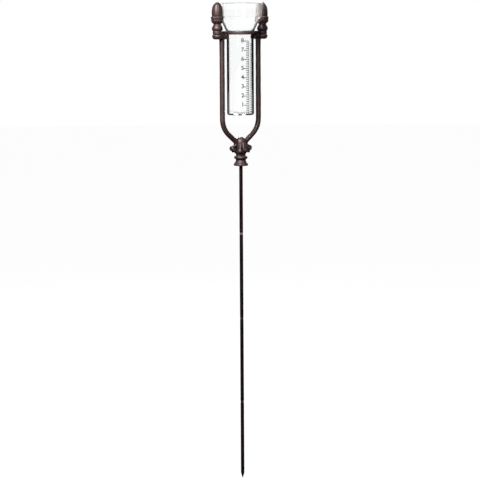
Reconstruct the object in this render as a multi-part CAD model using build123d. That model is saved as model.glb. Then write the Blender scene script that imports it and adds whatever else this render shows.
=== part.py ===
from build123d import *
import os
from math import cos, radians, sin, tan

# Manual rain gauge on a ground stake.  Millimetres, +Z up, origin at the stake's tip.
# The fork's two arms stand in the XZ plane, and the tube's scales face -Y.

# ---- Stake: one pointed section and three plain ones, screwed together ----
stake_r = 4.0
point_length = 174.0
point_taper = 12.0
tip_r = 0.8
section_length = 188.0
collar_height = 5.0
collar_step = 0.3
thread_r = 2.5
thread_reach = 14.0
thread_clearance = 0.05
hole_spare = 1.0
socket_clearance = 0.06
edge_chamfer = 0.5

# ---- Glass vessel ----
tube_r = 30.0
collector_r = 49.0
glass_wall = 2.4
base_thickness = 4.0
tube_corner_r = 4.0
cone_angle = 25.0
shoulder_angle = 42.0
shoulder_rise = 6.6
collector_height = 29.6
cone_fillet = 6.0
shoulder_fillet = 3.0

# ---- Holder ring ----
ring_gap = 1.6
seat_gap = 0.3
ring_band = 6.9
ring_thickness = 8.0
ring_round = 2.4
lug_r = 10.2

# ---- Fork casting ----
socket_depth = 37.0
arm_r = 5.75
arm_straight = 186.0
arm_bend_r = 45.0
arm_splay = 52.0
arm_inset = 12.9
arm_root_rise = 43.5
bracket_thickness = 10.4
bracket_width = 13.0
boss_r = 11.4
boss_round = 4.0
nose_inset = 4.9
tube_bottom_gap = 7.5

# Heights of the hub's mouldings above its foot, and their radii
foot_r = 15.9
foot_lip = 3.2
foot_waist_r = 11.1
foot_waist_rise = 12.0
bead_r = 15.0
bead_rise = 19.0
bead_half = 3.6
neck_r = 12.1
neck_rise = 24.6
body_r = 13.6
body_low_rise = 29.0
body_top_rise = 52.0
dome_rise = 65.0

# Leaves round the hub: two with curled tips under the arms, two flatter ones between
curl_r = 6.8
curl_reach = 29.6
curl_rise = 39.4
curl_width = 9.5
lobe_reach = 20.5
lobe_r = 4.6
lobe_rise = 35.5
lobe_width = 11.0
rib_r = 2.6
rib_low_rise = 31.5
rib_top_rise = 50.0

# ---- Finials ----
ball_r = 12.1
ball_seat_r = 9.6
ball_widest = 4.8
ball_height = 14.4
finial_neck_r = 8.3
cup_r = 14.4
cup_height = 18.0
cup_widest = 12.6
cup_lip = 1.6
nut_r = 12.2
nut_height = 31.1
nut_tip_r = 1.4
finial_gap = 2.0
stud_r = 3.0
stud_grip = 8.0
stud_reach = 20.0
stud_hole_clearance = 0.3

# ---- Scale print on the tube ----
print_thickness = 0.15
mark_height = 0.7
scale_base_gap = 2.5
scale_top_gap = 19.7
numeral_count = 8
divisions = 5
inch_line_deg = 267.6
short_mark_deg = 10.5
long_mark_deg = 23.0
metric_line_deg = 275.0
metric_mark_deg = 9.0
metric_long_deg = 15.0
metric_divisions = 5
metric_group = 5

# ---- Places that follow from the sizes above ----
section_pitch = section_length + collar_height
lower_z = point_length + collar_height
middle_z = lower_z + section_pitch
upper_z = middle_z + section_pitch
stake_top_z = upper_z + section_length
hub_z = stake_top_z - socket_depth

finial_reach = collector_r + finial_gap + cup_r
arm_reach = finial_reach - arm_inset
arm_root_z = hub_z + arm_root_rise
arm_corner_z = arm_root_z + arm_reach / tan(radians(arm_splay))
bend_start_z = arm_corner_z + arm_bend_r * tan(radians(arm_splay) / 2)
ring_z = bend_start_z + arm_straight
bracket_z = ring_z - bracket_thickness
ring_top_z = ring_z + ring_thickness

ring_bore_r = tube_r + ring_gap
ring_outer_r = ring_bore_r + ring_band
cone_start_rise = (ring_gap - seat_gap / cos(radians(cone_angle))) / tan(radians(cone_angle))
cone_start_z = ring_top_z - cone_start_rise
shoulder_r = collector_r - shoulder_rise * tan(radians(shoulder_angle))
shoulder_z = cone_start_z + (shoulder_r - tube_r) / tan(radians(cone_angle))
collector_z = shoulder_z + shoulder_rise
rim_z = collector_z + collector_height
tube_bottom_z = bend_start_z + tube_bottom_gap
scale_base_z = tube_bottom_z + scale_base_gap
numeral_pitch = (cone_start_z - scale_top_gap - scale_base_z) / numeral_count

thread_hole_r = thread_r + thread_clearance
thread_hole_depth = thread_reach + hole_spare
stud_fit_r = stud_r + thread_clearance
stud_bottom_z = ring_z - stud_grip
stud_top_z = ring_top_z + stud_reach


def cylinder(radius, z_low, z_high, x=0.0):
    """A plain upright cylinder between two heights."""
    return Pos(x, 0, z_low) * Cylinder(radius, z_high - z_low, align=(Align.CENTER, Align.CENTER, Align.MIN))


def revolved(outline):
    """Turn a closed outline of (radius, height) edges about the Z axis."""
    return revolve(Plane.XZ * make_face(outline), Axis.Z)


def stake_rod(z_low, length):
    """One plain stake section, drilled and tapped at both ends."""
    rod = cylinder(stake_r, z_low, z_low + length)
    rod = chamfer(rod.edges().filter_by(GeomType.CIRCLE), edge_chamfer)
    rod -= cylinder(thread_hole_r, z_low, z_low + thread_hole_depth)
    rod -= cylinder(thread_hole_r, z_low + length - thread_hole_depth, z_low + length)
    return rod


def stake_point():
    """The lowest section: a rod with a turned conical point and a tapped top."""
    outline = Polyline(
        (0, 0),
        (tip_r, 0),
        (stake_r, point_taper),
        (stake_r, point_length - edge_chamfer),
        (stake_r - edge_chamfer, point_length),
        (0, point_length),
        close=True,
    )
    return revolved(outline) - cylinder(thread_hole_r, point_length - thread_hole_depth, point_length)


def coupler(z_low):
    """A double-ended screw with a plain collar between its two threads."""
    thread = cylinder(thread_r, z_low - thread_reach, z_low + collar_height + thread_reach)
    collar = cylinder(stake_r - collar_step, z_low, z_low + collar_height)
    return thread + collar


def head_stud():
    """The headless screw that joins the top stake section to the fork's hub."""
    return cylinder(thread_r, stake_top_z - thread_reach, stake_top_z + thread_reach)


def hub_body():
    """The turned core of the hub: foot, waist, bead, neck, body and dome."""
    foot = (foot_r, hub_z + foot_lip)
    waist = (foot_waist_r, hub_z + foot_waist_rise)
    bead_low = (foot_waist_r, hub_z + bead_rise - bead_half)
    bead_high = (neck_r, hub_z + bead_rise + bead_half)
    neck = (neck_r, hub_z + neck_rise)
    body_low = (body_r, hub_z + body_low_rise)
    body_top = (body_r, hub_z + body_top_rise)
    dome = (0, hub_z + dome_rise)
    outline = [
        Line((0, hub_z), (foot_r - foot_lip / 2, hub_z)),
        Line((foot_r - foot_lip / 2, hub_z), foot),
        Spline(foot, waist, tangents=((-1, 0.35), (0, 1))),
        Line(waist, bead_low),
        ThreePointArc(bead_low, (bead_r, hub_z + bead_rise), bead_high),
        Line(bead_high, neck),
        Spline(neck, body_low, tangents=((0, 1), (0, 1))),
        Line(body_low, body_top),
        Spline(body_top, dome, tangents=((0, 1), (-1, 0))),
        Line(dome, (0, hub_z)),
    ]
    return revolved(outline)


def curled_leaf(reach, tip_r, rise, width, turn):
    """A leaf that leaves the hub near its top and ends in a round curled tip."""
    tip_x = reach - tip_r
    tip_z = hub_z + rise
    tip = Pos(tip_x, 0, tip_z) * Rot(90, 0, 0) * Cylinder(tip_r, width)
    blade_outline = Polyline(
        (0, tip_z + tip_r * 1.6),
        (body_r, tip_z + tip_r * 1.5),
        (tip_x, tip_z + tip_r),
        (tip_x, tip_z - tip_r),
        (body_r, tip_z - tip_r * 1.2),
        (0, tip_z - tip_r * 1.2),
        close=True,
    )
    blade = extrude(Plane.XZ * make_face(blade_outline), width / 2, both=True)
    return Rot(0, 0, turn) * (tip + blade)


def hub_rib(turn):
    """A raised rib between two leaves, with a rounded lower end."""
    low_z = hub_z + rib_low_rise
    rib = cylinder(rib_r, low_z, hub_z + rib_top_rise, x=body_r)
    end = Pos(body_r, 0, low_z) * Sphere(rib_r * 1.2)
    return Rot(0, 0, turn) * (rib + end)


def fork_arm():
    """One round arm: up from the hub, through the bend, to the underside of its bracket."""
    path = FilletPolyline(
        (0, arm_root_z),
        (arm_reach, arm_corner_z),
        (arm_reach, bracket_z + bracket_thickness / 2),
        radius=arm_bend_r,
    )
    spine = Plane.XZ * path
    section = Plane(origin=spine @ 0, z_dir=spine % 0) * Circle(arm_r)
    return sweep(section, path=spine)


def fork_bracket():
    """The flat pad on an arm's top that carries the ring's lug, with a boss under the finial."""
    nose_x = ring_bore_r + nose_inset
    bar_length = finial_reach - nose_x
    bar = Pos(nose_x + bar_length / 2, 0, bracket_z + bracket_thickness / 2) * Box(
        bar_length, bracket_width, bracket_thickness
    )
    nose_edges = bar.edges().filter_by(Axis.Z).sort_by(Axis.X)[:2]
    bar = fillet(nose_edges, bracket_width / 2.5)
    boss = cylinder(boss_r, bracket_z, ring_z, x=finial_reach)
    boss = fillet(boss.edges().filter_by(GeomType.CIRCLE).sort_by(Axis.Z)[0], boss_round)
    return bar + boss


def fork_casting():
    """The fork: hub, leaves, two arms and two brackets, cast in one piece."""
    casting = hub_body()
    arm = fork_arm()
    bracket = fork_bracket()
    for turn in (0, 180):
        casting += Rot(0, 0, turn) * arm
        casting += Rot(0, 0, turn) * bracket
        casting += curled_leaf(curl_reach, curl_r, curl_rise, curl_width, turn)
        casting += curled_leaf(lobe_reach, lobe_r, lobe_rise, lobe_width, turn + 90)
    for turn in (45, 135, 225, 315):
        casting += hub_rib(turn)
    casting -= cylinder(stake_r + socket_clearance, hub_z - hole_spare, stake_top_z)
    casting -= cylinder(thread_hole_r, stake_top_z, stake_top_z + thread_hole_depth)
    for x in (-finial_reach, finial_reach):
        casting -= cylinder(stud_fit_r, stud_bottom_z, ring_z + hole_spare, x=x)
    return casting


def holder_ring():
    """The flat ring that the vessel's cone sits in, with a lug on each side for a finial."""
    band = cylinder(ring_outer_r, ring_z, ring_top_z)
    band = fillet(band.edges().filter_by(GeomType.CIRCLE), ring_round)
    for turn in (0, 180):
        bar = Pos(finial_reach / 2, 0, ring_z + ring_thickness / 2) * Box(
            finial_reach, bracket_width, ring_thickness
        )
        eye = cylinder(lug_r, ring_z, ring_top_z, x=finial_reach)
        band += Rot(0, 0, turn) * (bar + eye)
    band -= cylinder(ring_bore_r, ring_z - hole_spare, ring_top_z + hole_spare)
    for x in (-finial_reach, finial_reach):
        band -= cylinder(stud_r + stud_hole_clearance, ring_z - hole_spare, ring_top_z + hole_spare, x=x)
    return band


def finial(x):
    """A screw-on finial: an oblate ball, a neck, and an acorn in its cup."""
    base = ring_top_z
    neck_z = base + ball_height
    lip_z = neck_z + cup_height
    tip_z = lip_z + nut_height
    ball_side = (ball_r, base + ball_widest)
    neck = (finial_neck_r, neck_z)
    cup_side = (cup_r, neck_z + cup_widest)
    lip = (nut_r + cup_lip / 2, lip_z)
    nut_low = (nut_r, lip_z)
    nut_waist = (nut_r * 0.965, lip_z + nut_height * 0.52)
    nut_top = (nut_tip_r, tip_z)
    outline = [
        Line((0, base), (ball_seat_r, base)),
        Spline((ball_seat_r, base), ball_side, tangents=((1, 0.6), (0, 1))),
        Spline(ball_side, neck, tangents=((0, 1), (-0.5, 1))),
        Spline(neck, cup_side, tangents=((1, 0.6), (0, 1))),
        Spline(cup_side, lip, tangents=((0, 1), (-1, 0.6))),
        Line(lip, nut_low),
        Spline(nut_low, nut_waist, nut_top, tangents=((0, 1), (-1, 0.75))),
        Line(nut_top, (0, tip_z)),
        Line((0, tip_z), (0, base)),
    ]
    body = Pos(x, 0, 0) * revolved(outline)
    return body - cylinder(stud_fit_r, base, stud_top_z + hole_spare, x=x)


def finial_stud(x):
    """The threaded stud that clamps the ring's lug between the fork and a finial."""
    return cylinder(stud_r, stud_bottom_z, stud_top_z, x=x)


def inside(point, below, above):
    """The glass's inner corner for an outer corner between two walls at these angles from vertical."""
    middle = radians(below + above) / 2
    reach = glass_wall / cos(radians(above - below) / 2)
    return (point[0] - reach * cos(middle), point[1] + reach * sin(middle))


def glass_vessel():
    """The one-piece glass: straight measuring tube, cone, and wide collector with an open top."""
    tube_top = (tube_r, cone_start_z)
    shoulder = (shoulder_r, shoulder_z)
    collector = (collector_r, collector_z)
    corners = [
        (0, tube_bottom_z),
        (tube_r, tube_bottom_z),
        tube_top,
        shoulder,
        collector,
        (collector_r, rim_z),
        (collector_r - glass_wall, rim_z),
        inside(collector, shoulder_angle, 0),
        inside(shoulder, cone_angle, shoulder_angle),
        inside(tube_top, 0, cone_angle),
        (tube_r - glass_wall, tube_bottom_z + base_thickness),
        (0, tube_bottom_z + base_thickness),
    ]
    profile = make_face(Polyline(*corners, close=True))
    rounds = [
        (corners[1], tube_corner_r),
        (corners[2], cone_fillet),
        (corners[4], shoulder_fillet + glass_wall),
        (corners[5], glass_wall * 0.45),
        (corners[6], glass_wall * 0.45),
        (corners[7], shoulder_fillet),
        (corners[9], cone_fillet),
        (corners[10], tube_corner_r),
    ]
    for corner, radius in rounds:
        nearest = profile.vertices().sort_by_distance((corner[0], corner[1], 0))[0]
        profile = fillet(nearest, radius)
    return revolve(Plane.XZ * profile, Axis.Z)


def tube_mark(start_deg, sweep_deg, z_middle, height):
    """A thin patch of print that lies on the tube's outside."""
    outer = CenterArc((0, 0), tube_r + print_thickness, start_deg, sweep_deg)
    inner = CenterArc((0, 0), tube_r, start_deg, sweep_deg)
    outline = [outer, inner, Line(outer @ 0, inner @ 0), Line(outer @ 1, inner @ 1)]
    patch = extrude(make_face(outline), height, dir=(0, 0, 1))
    return Pos(0, 0, z_middle - height / 2) * patch


def inch_scale():
    """Marks that run left from an upright line, with a long one at each numeral."""
    marks = []
    for step in range(numeral_count * divisions + 1):
        is_long = step % divisions == 0
        length = long_mark_deg if is_long else short_mark_deg
        z = scale_base_z + step * numeral_pitch / divisions
        marks.append(tube_mark(inch_line_deg - length, length, z, mark_height))
    return marks


def metric_scale():
    """A finer row of marks beside the first scale."""
    marks = []
    for step in range(1, numeral_count * metric_divisions):
        is_long = step % metric_group == 0
        length = metric_long_deg if is_long else metric_mark_deg
        z = scale_base_z + (step - 0.5) * numeral_pitch / metric_divisions
        marks.append(tube_mark(metric_line_deg, length, z, mark_height))
    return marks


nodes = {
    "stake_point": stake_point(),
    "stake_lower": stake_rod(lower_z, section_length),
    "stake_middle": stake_rod(middle_z, section_length),
    "stake_upper": stake_rod(upper_z, section_length),
    "coupler_lower": coupler(point_length),
    "coupler_middle": coupler(middle_z - collar_height),
    "coupler_upper": coupler(upper_z - collar_height),
    "head_stud": head_stud(),
    "fork_casting": fork_casting(),
    "holder_ring": holder_ring(),
    "finial_stud_left": finial_stud(-finial_reach),
    "finial_stud_right": finial_stud(finial_reach),
    "finial_left": finial(-finial_reach),
    "finial_right": finial(finial_reach),
    "glass_vessel": glass_vessel(),
    "inch_scale": Compound(children=inch_scale()),
    "metric_scale": Compound(children=metric_scale()),
}

os.makedirs("parts", exist_ok=True)
for name, solid in nodes.items():
    export_step(solid, f"parts/{name}.step")
    box = solid.bounding_box()
    print(f"{name}: {box.min.Z:.1f} to {box.max.Z:.1f} mm high, volume {solid.volume:.0f} mm3")
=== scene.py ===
"""Looks of a manual rain gauge: a glass vessel in a cast fork with acorn finials, on a screwed ground stake.

Sizes are in millimetres and angles in degrees, unless a class says otherwise. Places come from the frame.
"""

import logging
import math
from dataclasses import dataclass, field
from enum import Enum
from typing import Callable, Optional, Sequence, Union

import bpy
from mathutils import Matrix, Vector, noise


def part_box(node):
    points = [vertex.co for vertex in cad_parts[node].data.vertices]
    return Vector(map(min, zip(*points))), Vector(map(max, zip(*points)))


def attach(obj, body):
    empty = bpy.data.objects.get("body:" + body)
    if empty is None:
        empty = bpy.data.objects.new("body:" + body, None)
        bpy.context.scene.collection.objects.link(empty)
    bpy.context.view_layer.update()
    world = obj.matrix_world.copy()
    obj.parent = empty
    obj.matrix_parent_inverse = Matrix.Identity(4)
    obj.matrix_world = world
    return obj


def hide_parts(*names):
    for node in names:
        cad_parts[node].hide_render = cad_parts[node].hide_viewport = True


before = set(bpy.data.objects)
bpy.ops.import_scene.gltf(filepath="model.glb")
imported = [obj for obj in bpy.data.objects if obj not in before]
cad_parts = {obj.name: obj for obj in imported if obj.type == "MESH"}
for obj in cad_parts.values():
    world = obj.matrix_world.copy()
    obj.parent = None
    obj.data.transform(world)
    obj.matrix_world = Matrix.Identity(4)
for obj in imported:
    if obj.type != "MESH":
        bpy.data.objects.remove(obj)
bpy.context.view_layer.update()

MM = 0.001
FORWARD = Vector((0.0, 1.0, 0.0))
log = logging.getLogger("rain_gauge")

Colour = tuple[float, float, float]
Range = tuple[float, float]
Outline = list[tuple[float, float]]
Relief = Callable[[float, float], float]
Section = Callable[[float], tuple[float, float]]


# ---------------------------------------------------------------- shader maths


@dataclass(eq=False)
class Field:
    """A shader value that can stand in arithmetic: each operator adds one Math node."""

    graph: "ShaderGraph"
    socket: Optional[bpy.types.NodeSocket]

    def _math(self, operation: str, first: "Value", second: "Value") -> "Field":
        """Add a Math node of one operation on two values."""
        return self.graph.node("ShaderNodeMath", {"operation": operation}, {0: first, 1: second})

    def __add__(self, other: "Value") -> "Field":
        """This value plus another."""
        return self._math("ADD", self, other)

    __radd__ = __add__

    def __sub__(self, other: "Value") -> "Field":
        """This value minus another."""
        return self._math("SUBTRACT", self, other)

    def __rsub__(self, other: "Value") -> "Field":
        """Another value minus this one."""
        return self._math("SUBTRACT", other, self)

    def __mul__(self, other: "Value") -> "Field":
        """This value times another."""
        return self._math("MULTIPLY", self, other)

    __rmul__ = __mul__

    def __truediv__(self, other: "Value") -> "Field":
        """This value over another."""
        return self._math("DIVIDE", self, other)

    def __pow__(self, other: "Value") -> "Field":
        """This value to a power."""
        return self._math("POWER", self, other)

    def above(self, low: float, high: float) -> "Field":
        """Rise smoothly from 0 at one value to 1 at another.

        Args:
            low: The value that gives 0.
            high: The value that gives 1.

        Returns:
            The step as a value between 0 and 1.
        """
        settings = {"interpolation_type": "SMOOTHSTEP"}
        names = {"Value": self, "From Min": low, "From Max": high, "To Min": 0.0, "To Max": 1.0}
        return self.graph.node("ShaderNodeMapRange", settings, names)


Value = Union[Field, float, int]
Input = Union[Field, float, int, tuple]


@dataclass(eq=False)
class ShaderGraph:
    """The nodes of one material or world, which starts with none."""

    tree: bpy.types.NodeTree

    def __post_init__(self) -> None:
        """Empty the tree."""
        self.tree.nodes.clear()

    @staticmethod
    def _pick(sockets: bpy.types.bpy_prop_collection, key: Union[int, str]) -> bpy.types.NodeSocket:
        """Find a socket by its number, its identifier or its name."""
        named = [] if isinstance(key, int) else [socket for socket in sockets if socket.identifier == key]
        return named[0] if named else sockets[key]

    def node(
        self,
        kind: str,
        settings: Optional[dict] = None,
        inputs: Optional[dict] = None,
        output: Union[int, str] = 0,
    ) -> Field:
        """Add one node of any type.

        Args:
            kind: The node's type name.
            settings: Its properties, set first.
            inputs: Values or links for its sockets, by number, identifier or name.
            output: Which output to return.

        Returns:
            The chosen output, which is empty for a node that has none.
        """
        made = self.tree.nodes.new(kind)
        for key, value in (settings or {}).items():
            setattr(made, key, value)
        for key, value in (inputs or {}).items():
            socket = self._pick(made.inputs, key)
            if isinstance(value, Field):
                self.tree.links.new(value.socket, socket)
            else:
                socket.default_value = value
        return Field(self, self._pick(made.outputs, output) if made.outputs else None)

    def place(self) -> Field:
        """The point on the surface in the object's own frame, in metres."""
        return self.node("ShaderNodeTexCoord", output="Object")

    def stretched(self, factors: Colour) -> Field:
        """The point on the surface with each axis scaled by its own factor."""
        return self.node("ShaderNodeVectorMath", {"operation": "MULTIPLY"}, {0: self.place(), 1: factors})

    def rise(self, vector: Field) -> Field:
        """The Z part of a vector."""
        return self.node("ShaderNodeSeparateXYZ", None, {0: vector}, "Z")

    def facing(self, **inputs: Input) -> Field:
        """How far a surface turns from the eye, from 0 when it is square to it to 1 when it is edge-on."""
        return self.node("ShaderNodeLayerWeight", None, {"Blend": 0.5, **inputs}, "Facing")

    def grain(
        self, size: float, detail: float = 3.0, where: Optional[Field] = None, warp: float = 0.0
    ) -> Field:
        """Soft random variation.

        Args:
            size: The width of one patch.
            detail: How many finer layers lie on it.
            where: The point to read it at, if not the plain one.
            warp: How far the patches are pulled out of shape.

        Returns:
            A value of about 0.5, mostly between 0.3 and 0.7.
        """
        names = {
            "Vector": where or self.place(),
            "Scale": 1.0 / (size * MM),
            "Detail": detail,
            "Roughness": 0.55,
            "Distortion": warp,
        }
        return self.node("ShaderNodeTexNoise", None, names, "Fac")

    def pits(self, size: float) -> Field:
        """The distance from the nearest of a scatter of points, as a share of their spacing."""
        names = {"Vector": self.place(), "Scale": 1.0 / (size * MM)}
        return self.node("ShaderNodeTexVoronoi", None, names, "Distance")

    def edges(self, low: float, high: float) -> Field:
        """How far a point stands out on an edge, from 0 at one pointiness to 1 at another."""
        return self.node("ShaderNodeNewGeometry", output="Pointiness").above(low, high)

    def openness(self, reach: float) -> Field:
        """How open a point is to walls within a reach, from 0 where walls close it in to 1 in the open."""
        settings = {"samples": 12, "only_local": False}
        return self.node("ShaderNodeAmbientOcclusion", settings, {"Distance": reach * MM}, "AO")

    def mix(self, factor: Value, first: Union[Field, Colour], second: Union[Field, Colour]) -> Field:
        """Blend two colours.

        Args:
            factor: 0 for the first colour, 1 for the second.
            first: A colour or a link.
            second: A colour or a link.

        Returns:
            The blended colour.
        """
        names: dict = {"Factor_Float": factor}
        for key, colour in (("A_Color", first), ("B_Color", second)):
            names[key] = colour if isinstance(colour, Field) else (*colour, 1.0)
        settings = {"data_type": "RGBA", "clamp_factor": True}
        return self.node("ShaderNodeMix", settings, names, "Result_Color")

    def bump(self, height: Field, depth: float, strength: float) -> Field:
        """Turn a height from 0 to 1 into a normal, where the depth is what a height of 1 means."""
        names = {"Height": height, "Distance": depth * MM, "Strength": strength}
        return self.node("ShaderNodeBump", None, names, "Normal")

    def principled(self, **inputs: Input) -> Field:
        """Add a Principled shader.

        Args:
            inputs: Values, links or colours for its sockets, under their names with _ for a space.

        Returns:
            The shader.
        """
        names = {}
        for key, value in inputs.items():
            names[key.replace("_", " ")] = (*value, 1.0) if isinstance(value, tuple) else value
        return self.node("ShaderNodeBsdfPrincipled", None, names)

    def blend(self, factor: Value, first: Field, second: Field) -> Field:
        """Mix two shaders: 0 gives the first, 1 the second."""
        return self.node("ShaderNodeMixShader", None, {0: factor, 1: first, 2: second})

    def end(self, shader: Field) -> None:
        """Make a shader the material's surface."""
        self.node("ShaderNodeOutputMaterial", None, {"Surface": shader})

    def surface(self, **inputs: Input) -> None:
        """End the graph in one Principled shader."""
        self.end(self.principled(**inputs))


# -------------------------------------------------------------------- finishes


class Finish:
    """A named surface finish that makes its material once."""

    label = "finish"

    def build(self, graph: ShaderGraph) -> None:
        """Fill the material's graph."""
        raise NotImplementedError

    def material(self) -> bpy.types.Material:
        """Make the material, or give back the one already made.

        Returns:
            The material.
        """
        found = bpy.data.materials.get(self.label)
        if found:
            return found
        made = bpy.data.materials.new(self.label)
        made.use_nodes = True
        self.build(ShaderGraph(made.node_tree))
        return made


@dataclass(frozen=True)
class CastIronPaint(Finish):
    """Dark brown paint on a rough casting, rubbed lighter on its edges, with painted shade in its hollows and
    creases.
    """

    label = "cast_iron_brown_paint"
    # The first colour is painted shade: near-black laid into the casting's hollows and creases.
    hollow_shade: Colour = (0.008, 0.005, 0.005)
    body: Colour = (0.044, 0.028, 0.028)
    warm: Colour = (0.064, 0.034, 0.033)
    rubbed: Colour = (0.210, 0.170, 0.165)
    blotch_size: float = 14.0
    lump_size: float = 4.5
    sand_size: float = 1.3
    shade_reach: float = 10.0
    warm_step: Range = (0.38, 0.66)
    open_step: Range = (0.38, 0.90)
    crease_shade_step: Range = (0.445, 0.494)
    edge_step: Range = (0.510, 0.565)
    roughness: float = 0.48
    flake: float = 0.6
    grain_depth: float = 0.22

    def build(self, graph: ShaderGraph) -> None:
        """Lay a blotchy brown over the casting, with painted shade darkening the hollows and creases, and
        rubbed lighter on the edges.

        Args:
            graph: The material's empty graph.
        """
        blotches = graph.grain(self.blotch_size, 4.0, warp=0.6)
        sand = graph.grain(self.sand_size, 4.0)
        lumps = graph.grain(self.lump_size)
        colour = graph.mix(blotches.above(*self.warm_step), self.body, self.warm)
        # Painted shade: where walls are close or the skin creases in, the colour is darkened almost to black.
        in_the_open = graph.openness(self.shade_reach).above(*self.open_step)
        painted_shade = 1.0 - in_the_open * graph.edges(*self.crease_shade_step)
        colour = graph.mix(painted_shade * 0.93, colour, self.hollow_shade)
        rub = graph.edges(*self.edge_step) * (0.35 + sand * 0.9)
        height = sand * 0.45 + lumps * 0.55
        graph.surface(
            Base_Color=graph.mix(rub * 0.85, colour, self.rubbed),
            Roughness=self.roughness + (lumps - 0.5) * 0.25 - rub * 0.08 + painted_shade * 0.3,
            Metallic=self.flake,
            Specular_IOR_Level=0.6,
            Normal=graph.bump(height, self.grain_depth, 0.8),
        )


@dataclass(frozen=True)
class StakePaint(Finish):
    """Near-black paint on drawn steel rod, scuffed along its length."""

    label = "stake_black_paint"
    paint: Colour = (0.0026, 0.0012, 0.0011)
    brown: Colour = (0.0062, 0.0028, 0.0024)
    scuff: Colour = (0.022, 0.013, 0.011)
    lengthwise: Colour = (1.0, 1.0, 0.04)
    streak_size: float = 2.4
    mottle_size: float = 30.0
    skin_size: float = 0.7
    chip_spacing: float = 6.0
    chip_patch: float = 9.0
    brown_step: Range = (0.42, 0.62)
    streak_step: Range = (0.52, 0.70)
    worn_step: Range = (0.35, 0.6)
    chip_step: Range = (0.16, 0.10)
    patch_step: Range = (0.54, 0.62)
    roughness: float = 0.62
    grain_depth: float = 0.07

    def build(self, graph: ShaderGraph) -> None:
        """Lay black paint with long scuffs, small chips and a slightly browner mottle.

        Args:
            graph: The material's empty graph.
        """
        streaks = graph.grain(self.streak_size, 4.0, where=graph.stretched(self.lengthwise))
        mottle = graph.grain(self.mottle_size)
        skin = graph.grain(self.skin_size, 2.0)
        colour = graph.mix(mottle.above(*self.brown_step), self.paint, self.brown)
        worn = streaks.above(*self.streak_step) * mottle.above(*self.worn_step)
        chipped = graph.grain(self.chip_patch, 2.0).above(*self.patch_step)
        chips = graph.pits(self.chip_spacing).above(*self.chip_step) * chipped
        graph.surface(
            Base_Color=graph.mix(worn * 0.45 + chips * 0.5, colour, self.scuff),
            Roughness=self.roughness + (streaks - 0.5) * 0.4 - chips * 0.15,
            Specular_IOR_Level=0.05,
            Normal=graph.bump(skin * 0.4 + streaks * 0.6 - chips * 0.8, self.grain_depth, 0.6),
        )


@dataclass(frozen=True)
class BareSteel(Finish):
    """Turned steel without paint, dulled by the weather."""

    label = "bare_turned_steel"
    steel: Colour = (0.150, 0.135, 0.130)
    tarnish: Colour = (0.070, 0.052, 0.046)
    around: Colour = (0.05, 0.05, 1.0)
    ring_size: float = 0.35
    ring_depth: float = 0.03
    stain_size: float = 2.2
    stain_step: Range = (0.45, 0.68)
    roughness: float = 0.48

    def build(self, graph: ShaderGraph) -> None:
        """Lay fine turning rings and a brown tarnish over the metal.

        Args:
            graph: The material's empty graph.
        """
        rings = graph.grain(self.ring_size, 2.0, where=graph.stretched(self.around))
        stains = graph.grain(self.stain_size, 4.0, warp=0.8)
        graph.surface(
            Base_Color=graph.mix(stains.above(*self.stain_step), self.steel, self.tarnish),
            Metallic=1.0,
            Roughness=self.roughness + (rings - 0.5) * 0.35,
            Normal=graph.bump(rings, self.ring_depth, 0.7),
        )


@dataclass(frozen=True)
class TarnishedSteel(BareSteel):
    """Turned steel that has gone dark with earth and damp."""

    label = "tarnished_turned_steel"
    steel: Colour = (0.050, 0.036, 0.030)
    tarnish: Colour = (0.022, 0.012, 0.009)


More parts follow.
